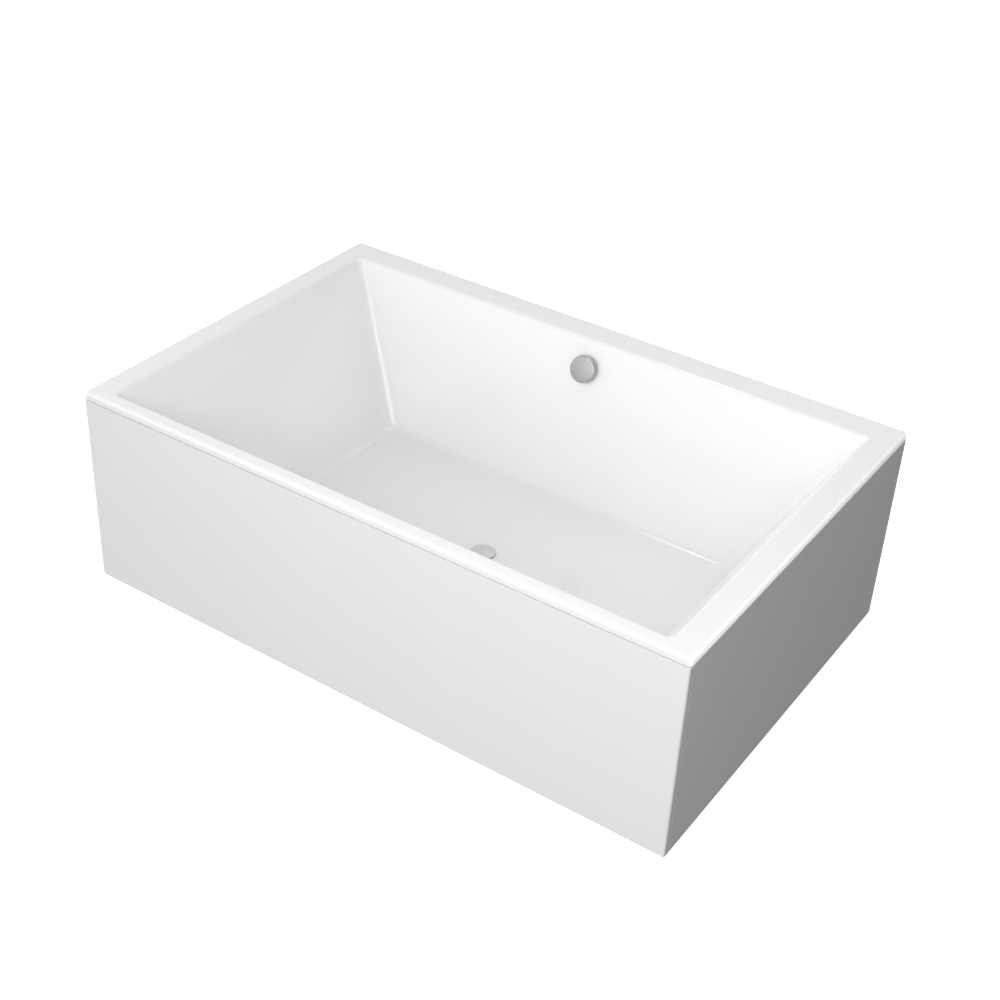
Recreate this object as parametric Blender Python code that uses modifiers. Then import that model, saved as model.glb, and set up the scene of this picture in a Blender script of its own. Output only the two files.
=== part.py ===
"""Freestanding rectangular two-person bathtub with panels, support frame and waste set.

Metres, +Z up. The origin is on the floor under the middle of the outer rectangle.
+X runs along the long side, +Y points to the wide rim with the overflow.
"""
import math

import bmesh
import bpy
from mathutils import Matrix, Vector

# ---- outer size and rim ------------------------------------------------------------
LENGTH = 1.700
WIDTH = 1.100
HEIGHT = 0.560
SHELL_T = 0.006
LIP_HEIGHT = 0.0205
RIM_ROUND = 0.009          # rounding of the outer rim edge
OUTER_CORNER = 0.012       # plan radius of the outer corners
GAP = 0.0003               # clearance between neighbouring pieces

# ---- basin -------------------------------------------------------------------------
RIM_END = 0.065            # rim width at both ends
RIM_NEAR = 0.041
RIM_FAR = 0.086
BASIN_HALF_X = LENGTH / 2 - RIM_END
BASIN_LOW_Y = -WIDTH / 2 + RIM_NEAR
BASIN_HIGH_Y = WIDTH / 2 - RIM_FAR
BASIN_MID_Y = (BASIN_LOW_Y + BASIN_HIGH_Y) / 2
FLOOR_Z = 0.153            # floor height at the foot of the walls
WASTE_Z = 0.143            # floor height at the waste
BASIN_DEPTH = HEIGHT - FLOOR_Z
END_SLOPE = math.atan(0.235 / BASIN_DEPTH)     # backrests, from vertical
SIDE_SLOPE = math.atan(0.159 / BASIN_DEPTH)    # long walls, from vertical
RIM_INNER_ROUND = 0.014
FLOOR_ROUND = 0.032
CORNER_TOP = 0.018
CORNER_BOTTOM = 0.042
CORNER_STEPS = 6
WASTE_FLAT = 0.048         # flat seat round the waste hole
WASTE_HOLE = 0.026

# ---- panels ------------------------------------------------------------------------
PANEL_T = 0.016
REVEAL = 0.003             # shadow gap under the lip
PANEL_TOP = HEIGHT - LIP_HEIGHT - REVEAL
SEAL_HEIGHT = 0.0047
SEAL_WIDTH = 0.010
PANEL_BOTTOM = SEAL_HEIGHT + GAP
PANEL_EDGE_ROUND = 0.005
PANEL_EDGE_BREAK = 0.001
ANGLE_LEG = 0.025
ANGLE_T = 0.002
CLIP_LENGTH = 0.050

# ---- rim battens and floor board ---------------------------------------------------
BATTEN_TOP = HEIGHT - SHELL_T - 0.001
BATTEN_BOTTOM = PANEL_TOP + GAP
BATTEN_OUT = SHELL_T + 0.0015                  # inset of a batten from the outer face
BOARD_TOP = 0.1367
BOARD_T = 0.012
BOARD_LENGTH = 1.000
BOARD_WIDTH = 0.460
BOARD_WINDOW = 0.160

# ---- support frame and feet --------------------------------------------------------
TUBE = 0.025
TUBE_WALL = 0.002
RAIL_TOP = BOARD_TOP - BOARD_T - GAP
RAIL_BOTTOM = RAIL_TOP - TUBE
RAIL_LENGTH = 1.000
RAIL_SPACING = 0.200       # from the middle of the basin to each rail
CROSS_X = 0.300
FOOT_PLACES = ((-0.44, -1), (-0.10, -1), (0.44, -1), (-0.44, 1), (0.10, 1), (0.44, 1))
ROD_RADIUS = 0.005
ROD_TOP = 0.1085
ROD_FOOT = 0.0065
PAD_RADIUS = 0.025
NUT_HEIGHT = 0.008
NUT_RADIUS = 0.0098        # M10 nut across corners, halved

# ---- overflow ----------------------------------------------------------------------
OVERFLOW_Z = 0.4855
OVERFLOW_HOLE = 0.0255
KNOB_RADIUS = 0.037
KNOB_FACE = 0.0235
SPINDLE_RADIUS = 0.004
BEARING_RADIUS = SPINDLE_RADIUS + GAP
HOSE_BORE = 0.0168
HOSE_WALL = 0.0025
SPIGOT_RADIUS = HOSE_BORE - 0.001
SPIGOT_BORE = 0.0138
HOSE_LEVEL = 0.078         # height of the hose where it runs to the waste
HOSE_BEND = 0.055
CABLE_RADIUS = 0.003

# ---- waste -------------------------------------------------------------------------
FLANGE_RADIUS = 0.035
NECK_RADIUS = 0.0225
PLUG_RADIUS = 0.0325
BODY_TOP = WASTE_Z - SHELL_T - 0.0036
OUTLET_LEVEL = 0.030

WHITE = (0.86, 0.86, 0.85)
PANEL_WHITE = (0.84, 0.84, 0.84)
CHROME = (0.78, 0.79, 0.80)
ZINC = (0.60, 0.61, 0.62)
BLACK_RUBBER = (0.04, 0.04, 0.04)
GREY_RUBBER = (0.25, 0.25, 0.25)
PALE_WOOD = (0.55, 0.40, 0.24)
WHITE_PLASTIC = (0.75, 0.75, 0.74)
DARK_PLASTIC = (0.06, 0.06, 0.065)


# ---- helpers -----------------------------------------------------------------------
def clear_scene():
    for thing in list(bpy.data.objects):
        bpy.data.objects.remove(thing, do_unlink=True)


def collection(name, hidden=False):
    made = bpy.data.collections.new(name)
    bpy.context.scene.collection.children.link(made)
    made.hide_render = hidden
    return made


def material(name, colour, roughness, metallic=0.0):
    made = bpy.data.materials.new(name)
    made.use_nodes = True
    shader = made.node_tree.nodes["Principled BSDF"]
    shader.inputs["Base Color"].default_value = (*colour, 1.0)
    shader.inputs["Roughness"].default_value = roughness
    shader.inputs["Metallic"].default_value = metallic
    made.diffuse_color = (*colour, 1.0)
    return made


def place(name, data, finish, location=(0, 0, 0), rotation=(0, 0, 0), parent=None):
    """Link one named sub-part into the bathtub collection."""
    thing = bpy.data.objects.new(name, data)
    PARTS.objects.link(thing)
    thing.location = location
    thing.rotation_euler = rotation
    thing.parent = parent
    colour, roughness, metallic = finish
    data.materials.append(material(name, colour, roughness, metallic))
    return thing


def hide_tool(tool):
    """Keep a cutter out of the render and out of the finished part."""
    for owner in list(tool.users_collection):
        owner.objects.unlink(tool)
    TOOLS.objects.link(tool)
    tool.hide_render = True
    tool.display_type = "WIRE"
    return tool


def empty(name, location, rotation=(0, 0, 0)):
    thing = bpy.data.objects.new(name, None)
    PARTS.objects.link(thing)
    thing.location = location
    thing.rotation_euler = rotation
    return thing


def box_mesh(name, size, rounded=None, breaks=0.0):
    """A box; rounded is (test, radius) for the edges to round, breaks softens the rest."""
    bm = bmesh.new()
    bmesh.ops.create_cube(bm, size=1.0)
    bmesh.ops.scale(bm, vec=size, verts=bm.verts)
    if rounded:
        test, radius = rounded
        chosen = [edge for edge in bm.edges if test(edge)]
        bmesh.ops.bevel(bm, geom=chosen, offset=radius, segments=5, profile=0.5, affect="EDGES")
    if breaks:
        sharp = [edge for edge in bm.edges if edge.calc_face_angle(0) > math.radians(60)]
        bmesh.ops.bevel(bm, geom=sharp, offset=breaks, segments=2, profile=0.5, affect="EDGES")
    mesh = bpy.data.meshes.new(name)
    bm.to_mesh(mesh)
    bm.free()
    mesh.shade_smooth()
    mesh.set_sharp_from_angle(angle=math.radians(35))
    return mesh


def turned(name, profile, finish, location=(0, 0, 0), parent=None, steps=24, closed=True):
    """A turned piece: the profile runs down its outer side and is swept round Z."""
    mesh = bpy.data.meshes.new(name)
    edges = [(i, i + 1) for i in range(len(profile) - 1)]
    if closed:
        edges.append((len(profile) - 1, 0))
    mesh.from_pydata([(r, 0.0, z) for r, z in profile], edges, [])
    thing = place(name, mesh, finish, location, parent=parent)
    screw = thing.modifiers.new("Turn", "SCREW")
    screw.axis = "Z"
    screw.steps = steps
    screw.render_steps = steps
    screw.use_merge_vertices = True
    screw.merge_threshold = 0.00001
    screw.use_smooth_shade = True
    return thing


def cylinder_tool(name, radius, start, end, steps=24):
    """A hidden cylinder from start to end, for cutting or joining."""
    start, end = Vector(start), Vector(end)
    along = end - start
    bm = bmesh.new()
    bmesh.ops.create_cone(bm, cap_ends=True, segments=steps, radius1=radius,
                          radius2=radius, depth=along.length)
    mesh = bpy.data.meshes.new(name)
    bm.to_mesh(mesh)
    bm.free()
    tool = bpy.data.objects.new(name, mesh)
    tool.location = (start + end) / 2
    tool.rotation_euler = along.to_track_quat("Z", "Y").to_euler()
    return hide_tool(tool)


def combine(thing, tool, operation="DIFFERENCE"):
    cut = thing.modifiers.new(tool.name, "BOOLEAN")
    cut.operation = operation
    cut.solver = "EXACT"
    cut.object = tool
    return thing


def curve_data(name, outlines, dimensions, cyclic):
    data = bpy.data.curves.new(name, "CURVE")
    data.dimensions = dimensions
    for points in outlines:
        spline = data.splines.new("POLY")
        spline.points.add(len(points) - 1)
        for point, target in zip(points, spline.points):
            target.co = (*point, *([0.0] * (3 - len(point))), 1.0)
        spline.use_cyclic_u = cyclic
    return data


def extrusion(name, outlines, length, finish, location, rotation=(0, 0, 0), parent=None):
    """A flat outline, with any holes, extruded along its own Z by length."""
    data = curve_data(name, outlines, "2D", True)
    data.fill_mode = "BOTH"
    data.extrude = length / 2
    return place(name, data, finish, location, rotation, parent)


def as_mesh(curve):
    """Replace a curve object by its welded mesh, so that it can take a Boolean."""
    bpy.context.view_layer.update()
    evaluated = curve.evaluated_get(bpy.context.evaluated_depsgraph_get())
    mesh = bpy.data.meshes.new_from_object(evaluated)
    bm = bmesh.new()
    bm.from_mesh(mesh)
    bmesh.ops.remove_doubles(bm, verts=bm.verts, dist=0.00001)
    bm.to_mesh(mesh)
    bm.free()
    name, matrix, parent = curve.name, curve.matrix_world.copy(), curve.parent
    bpy.data.objects.remove(curve, do_unlink=True)
    mesh.name = name
    thing = bpy.data.objects.new(name, mesh)
    PARTS.objects.link(thing)
    thing.parent = parent
    thing.matrix_world = matrix
    return thing


def smooth_path(guides, spacing):
    """Points of a Catmull-Rom curve through the guides, about spacing apart."""
    guides = [Vector(guide) for guide in guides]
    ends = [2 * guides[0] - guides[1], *guides, 2 * guides[-1] - guides[-2]]
    points = [guides[0]]
    for before, start, end, after in zip(ends, ends[1:], ends[2:], ends[3:]):
        count = max(1, round((end - start).length / spacing))
        for step in range(1, count + 1):
            t = step / count
            points.append(0.5 * (2 * start + (end - before) * t
                                 + (2 * before - 5 * start + 4 * end - after) * t ** 2
                                 + (3 * start - before - 3 * end + after) * t ** 3))
    return points


# ---- tub shell ---------------------------------------------------------------------
def ring(half_x, low_y, high_y, radius, z):
    """One closed ring of the shell: a rectangle with rounded corners at height z."""
    points = []
    corners = ((1, high_y, -1), (-1, high_y, -1), (-1, low_y, 1), (1, low_y, 1))
    for index, (side, y, inward) in enumerate(corners):
        centre = Vector((side * (half_x - radius), y + inward * radius, z))
        for step in range(CORNER_STEPS + 1):
            angle = math.radians(90) * (index + step / CORNER_STEPS)
            points.append(centre + radius * Vector((math.cos(angle), math.sin(angle), 0)))
    return points


def wall_inset(depth, slope):
    """Distance of a sloping wall from the sharp rim edge, with both roundings."""
    turn = math.radians(90) - slope
    rim_reach = RIM_INNER_ROUND * math.tan(turn / 2)
    floor_reach = FLOOR_ROUND * math.tan(turn / 2)
    above_floor = BASIN_DEPTH - depth
    if depth < RIM_INNER_ROUND * (1 - math.cos(turn)):
        angle = math.acos(1 - depth / RIM_INNER_ROUND)
        return RIM_INNER_ROUND * math.sin(angle) - rim_reach
    if above_floor < FLOOR_ROUND * (1 - math.cos(turn)):
        angle = math.acos(1 - max(above_floor, 0) / FLOOR_ROUND)
        return BASIN_DEPTH * math.tan(slope) + floor_reach - FLOOR_ROUND * math.sin(angle)
    return depth * math.tan(slope)


def basin_ring(depth):
    end, side = wall_inset(depth, END_SLOPE), wall_inset(depth, SIDE_SLOPE)
    radius = CORNER_TOP + (CORNER_BOTTOM - CORNER_TOP) * depth / BASIN_DEPTH
    radius += max(0.0, -side)
    return ring(BASIN_HALF_X - end, BASIN_LOW_Y + side, BASIN_HIGH_Y - side, radius,
                HEIGHT - depth)


def shell_rings():
    """Rings from the bottom of the lip over the rim and down the basin to the waste."""
    rings = [ring(LENGTH / 2, -WIDTH / 2, WIDTH / 2, OUTER_CORNER, HEIGHT - LIP_HEIGHT)]
    for step in range(5):
        angle = math.radians(90) * step / 4
        inset = RIM_ROUND * (1 - math.cos(angle))
        rings.append(ring(LENGTH / 2 - inset, inset - WIDTH / 2, WIDTH / 2 - inset,
                          OUTER_CORNER - inset, HEIGHT - RIM_ROUND * (1 - math.sin(angle))))
    turn = math.radians(90) - SIDE_SLOPE
    fractions = [step / 5 for step in range(6)]
    for part in fractions:
        rings.append(basin_ring(RIM_INNER_ROUND * (1 - math.cos(turn * part))))
    for part in reversed(fractions):
        rings.append(basin_ring(BASIN_DEPTH - FLOOR_ROUND * (1 - math.cos(turn * part))))
    foot_end = wall_inset(BASIN_DEPTH, END_SLOPE)
    foot_side = wall_inset(BASIN_DEPTH, SIDE_SLOPE)
    half_x = BASIN_HALF_X - foot_end
    half_y = (BASIN_HIGH_Y - BASIN_LOW_Y) / 2 - foot_side
    for part in (0.5, 1.0):
        reach_x = half_x + (WASTE_FLAT - half_x) * part
        reach_y = half_y + (WASTE_FLAT - half_y) * part
        radius = CORNER_BOTTOM + (WASTE_FLAT - CORNER_BOTTOM) * part
        z = FLOOR_Z + (WASTE_Z - FLOOR_Z) * part
        rings.append(ring(reach_x, BASIN_MID_Y - reach_y, BASIN_MID_Y + reach_y, radius, z))
    rings.append(ring(WASTE_HOLE, BASIN_MID_Y - WASTE_HOLE, BASIN_MID_Y + WASTE_HOLE,
                      WASTE_HOLE, WASTE_Z))
    return rings


def tub_shell():
    bm = bmesh.new()
    rows = [[bm.verts.new(point) for point in points] for points in shell_rings()]
    for outer, inner in zip(rows, rows[1:]):
        for i in range(len(outer)):
            j = (i + 1) % len(outer)
            bm.faces.new((outer[i], outer[j], inner[j], inner[i]))
    bmesh.ops.remove_doubles(bm, verts=bm.verts, dist=0.000001)
    mesh = bpy.data.meshes.new("tub_shell")
    bm.to_mesh(mesh)
    bm.free()
    mesh.shade_smooth()
    shell = place("tub_shell", mesh, (WHITE, 0.12, 0.0))
    wall = shell.modifiers.new("Wall", "SOLIDIFY")
    wall.thickness = SHELL_T
    wall.offset = -1.0
    wall.use_even_offset = True
    hole = cylinder_tool("overflow_hole", OVERFLOW_HOLE, on_overflow(-0.03), on_overflow(0.03))
    combine(shell, hole)
    return shell


# ---- overflow axis -----------------------------------------------------------------
def on_overflow(reach):
    """A point on the overflow's axis, reach in front of the wall's visible face."""
    wall_y = BASIN_HIGH_Y - (HEIGHT - OVERFLOW_Z) * math.tan(SIDE_SLOPE)
    normal = Vector((0, -math.cos(SIDE_SLOPE), math.sin(SIDE_SLOPE)))
    return Vector((0, wall_y, OVERFLOW_Z)) + reach * normal


# ---- reinforcement -----------------------------------------------------------------
def battens_and_board():
    wood = (PALE_WOOD, 0.7, 0.0)
    height = BATTEN_TOP - BATTEN_BOTTOM
    mid_z = (BATTEN_TOP + BATTEN_BOTTOM) / 2
    front_w, back_w, end_w = 0.024, 0.050, 0.046
    out_x, out_y = LENGTH / 2 - BATTEN_OUT, WIDTH / 2 - BATTEN_OUT
    for name, width, y in (("rim_batten_front", front_w, -out_y + front_w / 2),
                           ("rim_batten_back", back_w, out_y - back_w / 2)):
        place(name, box_mesh(name, (2 * (out_x - RIM_ROUND), width, height)), wood,
              (0, y, mid_z))
    span_low, span_high = -out_y + front_w + GAP, out_y - back_w - GAP
    for name, side in (("rim_batten_left", -1), ("rim_batten_right", 1)):
        place(name, box_mesh(name, (end_w, span_high - span_low, height)), wood,
              (side * (out_x - end_w / 2), (span_low + span_high) / 2, mid_z))
    name = "base_board"
    board = place(name, box_mesh(name, (BOARD_LENGTH, BOARD_WIDTH, BOARD_T)), wood,
                  (0, BASIN_MID_Y, BOARD_TOP - BOARD_T / 2))
    window = bpy.data.objects.new("board_window", box_mesh(
        "board_window", (BOARD_WINDOW, BOARD_WINDOW, 2 * BOARD_T)))
    window.location = board.location
    combine(board, hide_tool(window))


# ---- panels ------------------------------------------------------------------------
def panels():
    skin = (PANEL_WHITE, 0.25, 0.0)
    height = PANEL_TOP - PANEL_BOTTOM
    mid_z = (PANEL_TOP + PANEL_BOTTOM) / 2
    long_y = WIDTH / 2 - PANEL_T / 2
    short_x = LENGTH / 2 - PANEL_T / 2
    short_length = WIDTH - 2 * (PANEL_T + GAP)

    def outer_upright(edge):
        ends = [vert.co for vert in edge.verts]
        return all(end.y < 0 for end in ends) and abs(ends[0].z - ends[1].z) > 0.1

    long_mesh = box_mesh("long_panel", (LENGTH, PANEL_T, height),
                         rounded=(outer_upright, PANEL_EDGE_ROUND), breaks=PANEL_EDGE_BREAK)
    short_mesh = box_mesh("short_panel", (PANEL_T, short_length, height),
                          breaks=PANEL_EDGE_BREAK)
    place("front_panel", long_mesh, skin, (0, -long_y, mid_z))
    place("back_panel", long_mesh.copy(), skin, (0, long_y, mid_z), (0, 0, math.radians(180)))
    place("left_panel", short_mesh, skin, (-short_x, 0, mid_z))
    place("right_panel", short_mesh.copy(), skin, (short_x, 0, mid_z))

    rubber = (GREY_RUBBER, 0.8, 0.0)
    inset = 0.004
    seal_y = WIDTH / 2 - inset - SEAL_WIDTH / 2
    seal_x = LENGTH / 2 - inset - SEAL_WIDTH / 2
    long_seal = (LENGTH - 2 * inset, SEAL_WIDTH, SEAL_HEIGHT)
    short_seal = (SEAL_WIDTH, 2 * (seal_y - SEAL_WIDTH / 2 - GAP), SEAL_HEIGHT)
    for name, size, spot in (("panel_seal_front", long_seal, (0, -seal_y)),
                             ("panel_seal_back", long_seal, (0, seal_y)),
                             ("panel_seal_left", short_seal, (-seal_x, 0)),
                             ("panel_seal_right", short_seal, (seal_x, 0))):
        place(name, box_mesh(name, size), rubber, (*spot, SEAL_HEIGHT / 2))


def corner_angles():
    """Aluminium angles that join the panels inside each corner."""
    leg, wall = ANGLE_LEG, ANGLE_T
    outline = [(0, 0), (leg, 0), (leg, wall), (wall, wall), (wall, leg), (0, leg)]
    in_x = LENGTH / 2 - PANEL_T - 2 * GAP
    in_y = WIDTH / 2 - PANEL_T - 2 * GAP
    length = 0.470
    corners = (("front_left", -1, -1, 0), ("front_right", 1, -1, 90),
               ("back_right", 1, 1, 180), ("back_left", -1, 1, 270))
    for label, side_x, side_y, turn in corners:
        extrusion(f"corner_angle_{label}", [outline], length, ((0.72, 0.73, 0.74), 0.4, 1.0),
                  (side_x * in_x, side_y * in_y, 0.030 + length / 2),
                  (0, 0, math.radians(turn)))


def panel_clips():
    """Bent spring-steel clips under the battens that hold the panels' top edges."""
    leg, drop, wall = 0.014, 0.034, 0.0015
    outline = [(0, 0), (leg, 0), (leg, -wall), (wall, -wall), (wall, -drop), (0, -drop)]
    top = BATTEN_BOTTOM - GAP
    in_x = LENGTH / 2 - PANEL_T - GAP
    in_y = WIDTH / 2 - PANEL_T - GAP
    quarter = math.radians(90)
    spots = (("front", (0, -in_y), quarter), ("back", (0, in_y), -quarter),
             ("left", (-in_x, 0), 0.0), ("right", (in_x, 0), 2 * quarter))
    for label, spot, turn in spots:
        extrusion(f"panel_clip_{label}", [outline], CLIP_LENGTH, (ZINC, 0.35, 1.0),
                  (*spot, top), (quarter, 0, turn))


# ---- support frame and feet --------------------------------------------------------
def square_tube(name, length, location, rotation):
    half, inner = TUBE / 2, TUBE / 2 - TUBE_WALL
    outlines = [[(-h, -h), (h, -h), (h, h), (-h, h)] for h in (half, inner)]
    tube = extrusion(name, outlines, length, (DARK_PLASTIC, 0.45, 0.0), location, rotation)
    return as_mesh(tube)


def support_frame():
    quarter = math.radians(90)
    level = RAIL_TOP - TUBE / 2
    for label, side in (("front", -1), ("back", 1)):
        y = BASIN_MID_Y + side * RAIL_SPACING
        rail = square_tube(f"frame_rail_{label}", RAIL_LENGTH, (0, y, level), (0, quarter, 0))
        for number, (x, row) in enumerate(FOOT_PLACES, 1):
            if row == side:
                hole = cylinder_tool(f"rod_hole_{number}", ROD_RADIUS + GAP,
                                     (x, y, RAIL_BOTTOM - TUBE_WALL),
                                     (x, y, RAIL_BOTTOM + 2 * TUBE_WALL), 16)
                combine(rail, hole)
    span = 2 * (RAIL_SPACING - TUBE / 2 - GAP)
    for label, side in (("left", -1), ("right", 1)):
        square_tube(f"frame_cross_{label}", span, (side * CROSS_X, BASIN_MID_Y, level),
                    (quarter, 0, 0))


def feet():
    """Six levelling feet: a plastic pad, a threaded rod and a lock nut under the rail."""
    bore = ROD_RADIUS + GAP
    floor = ROD_FOOT - GAP
    pad = [(0, floor), (bore, floor), (bore, 0.021), (0.0115, 0.021), (0.0150, 0.011),
           (0.0235, 0.0085), (PAD_RADIUS, 0.0070), (PAD_RADIUS, 0.0010), (0.0240, 0), (0, 0)]
    rod = [(0, ROD_TOP), (ROD_RADIUS - 0.001, ROD_TOP), (ROD_RADIUS, ROD_TOP - 0.001),
           (ROD_RADIUS, ROD_FOOT), (0, ROD_FOOT)]
    for number, (x, row) in enumerate(FOOT_PLACES, 1):
        y = BASIN_MID_Y + row * RAIL_SPACING
        axis = empty(f"foot_{number}_axis", (x, y, 0))
        turned(f"foot_pad_{number}", pad, (BLACK_RUBBER, 0.7, 0.0), parent=axis, steps=16,
               closed=False)
        turned(f"foot_rod_{number}", rod, (ZINC, 0.3, 1.0), parent=axis, steps=16,
               closed=False)
        bm = bmesh.new()
        bmesh.ops.create_cone(bm, cap_ends=True, segments=6, radius1=NUT_RADIUS,
                              radius2=NUT_RADIUS, depth=NUT_HEIGHT)
        mesh = bpy.data.meshes.new(f"lock_nut_{number}")
        bm.to_mesh(mesh)
        bm.free()
        level = RAIL_BOTTOM - GAP - NUT_HEIGHT / 2
        nut = place(f"lock_nut_{number}", mesh, (ZINC, 0.3, 1.0), (x, y, level))
        combine(nut, cylinder_tool(f"nut_hole_{number}", bore, (x, y, level - NUT_HEIGHT),
                                   (x, y, level + NUT_HEIGHT), 16))


# ---- overflow and cable ------------------------------------------------------------
def ports(thing, axis, radius, ring_radius, count, reach):
    """Cut a ring of water ports through a turned piece that sits on the given axis."""
    for index in range(count):
        angle = math.tau * index / count
        offset = axis @ Vector((ring_radius * math.cos(angle), ring_radius * math.sin(angle), 0))
        along = axis.to_3x3() @ Vector((0, 0, 1))
        combine(thing, cylinder_tool(f"{thing.name}_port_{index}", radius,
                                     offset + along * reach[0], offset + along * reach[1], 16))


def overflow():
    tilt = (math.radians(90) - SIDE_SLOPE, 0, 0)
    base = empty("overflow_axis", on_overflow(0), tilt)
    frame = Matrix.Translation(on_overflow(0)) @ Matrix.Rotation(tilt[0], 4, "X")
    chrome = (CHROME, 0.08, 1.0)

    knob = [(0, KNOB_FACE), (0.014, KNOB_FACE - 0.0002), (0.026, KNOB_FACE - 0.0009),
            (0.0325, KNOB_FACE - 0.0021), (0.0358, KNOB_FACE - 0.0041),
            (KNOB_RADIUS, KNOB_FACE - 0.0070), (KNOB_RADIUS, 0.0060), (0.0340, 0.0060),
            (0.0340, 0.0185), (0.0085, 0.0185), (0.0085, 0.0062), (BEARING_RADIUS, 0.0062),
            (BEARING_RADIUS, 0.0170), (0, 0.0170)]
    turned("overflow_knob", knob, chrome, parent=base, steps=28, closed=False)

    drum_top, drum_end, drum_radius = -0.0526, -0.0586, 0.010
    spindle = [(0, 0.0165), (SPINDLE_RADIUS, 0.0165), (SPINDLE_RADIUS, drum_top),
               (drum_radius, drum_top), (drum_radius, drum_end), (0, drum_end)]
    turned("knob_spindle", spindle, (ZINC, 0.3, 1.0), parent=base, steps=16, closed=False)

    neck, neck_bore = 0.0235, 0.0205
    plate = [(0.032, 0.0033), (0.032, GAP), (neck, GAP), (neck, -0.030), (neck_bore, -0.030),
             (neck_bore, -0.004), (BEARING_RADIUS, -0.004), (BEARING_RADIUS, 0.0033)]
    faceplate = turned("overflow_faceplate", plate, chrome, parent=base, steps=24)
    ports(faceplate, frame, 0.0050, 0.0135, 4, (-0.010, 0.010))

    seal = [(0.033, -SHELL_T - GAP), (0.033, -SHELL_T - 0.0033), (OVERFLOW_HOLE, -SHELL_T - 0.0033),
            (OVERFLOW_HOLE, -SHELL_T - GAP)]
    turned("overflow_gasket", seal, (BLACK_RUBBER, 0.7, 0.0), parent=base)

    flange_top = -SHELL_T - 0.0036
    flange_end, body_end, body_radius = flange_top - 0.004, -0.052, 0.027
    body = [(0, flange_top), (0.034, flange_top), (0.034, flange_end),
            (body_radius, flange_end), (body_radius, body_end), (0, body_end)]
    housing = turned("overflow_body", body, (WHITE_PLASTIC, 0.4, 0.0), parent=base,
                     closed=False)
    heart = on_overflow(-0.026)
    spigot_end = heart.z - 0.056
    low = Vector((0, heart.y, spigot_end))
    combine(housing, cylinder_tool("overflow_spigot", SPIGOT_RADIUS, heart, low), "UNION")
    combine(housing, cylinder_tool("overflow_chamber", neck + GAP, on_overflow(-0.049),
                                   on_overflow(0.01)))
    combine(housing, cylinder_tool("overflow_bearing", BEARING_RADIUS, on_overflow(-0.060),
                                   on_overflow(-0.040), 16))
    combine(housing, cylinder_tool("overflow_spigot_bore", SPIGOT_BORE, heart,
                                   low - Vector((0, 0, 0.01))))
    return heart, spigot_end


def overflow_hose(heart, spigot_end):
    """Hose from the overflow down behind the far wall and across to the waste."""
    top = Vector((0, heart.y, spigot_end + 0.015))
    centre = Vector((0, heart.y - HOSE_BEND, HOSE_LEVEL + HOSE_BEND))
    points = [top]
    for step in range(9):
        angle = math.radians(90) * step / 8
        points.append(centre + HOSE_BEND * Vector((0, math.cos(angle), -math.sin(angle))))
    points.append(Vector((0, BASIN_MID_Y + 0.035, HOSE_LEVEL)))
    data = curve_data("overflow_pipe", [points], "3D", False)
    data.fill_mode = "FULL"
    data.bevel_depth = HOSE_BORE + HOSE_WALL
    data.bevel_resolution = 4
    hose = as_mesh(place("overflow_pipe", data, (WHITE_PLASTIC, 0.4, 0.0)))
    wall = hose.modifiers.new("Wall", "SOLIDIFY")
    wall.thickness = HOSE_WALL
    wall.offset = -1.0
    wall.use_even_offset = True


def bowden_cable():
    """Cable sheath from the turning knob's housing to the lifting gear in the waste."""
    start = on_overflow(-0.040)
    guides = [(0.0277, start.y, start.z), (0.0400, start.y, start.z - 0.004),
              (0.0500, start.y + 0.002, 0.430), (0.0520, 0.470, 0.300), (0.0520, 0.450, 0.150),
              (0.0520, 0.385, 0.080), (0.0520, 0.250, 0.062), (0.0500, 0.120, 0.072),
              (0.0400, 0.035, 0.092), (0.0230, 0.0015, 0.099)]
    data = curve_data("bowden_cable", [smooth_path(guides, 0.024)], "3D", False)
    data.fill_mode = "FULL"
    data.bevel_depth = CABLE_RADIUS
    data.bevel_resolution = 2
    data.use_fill_caps = True
    place("bowden_cable", data, (BLACK_RUBBER, 0.5, 0.0))


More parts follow.
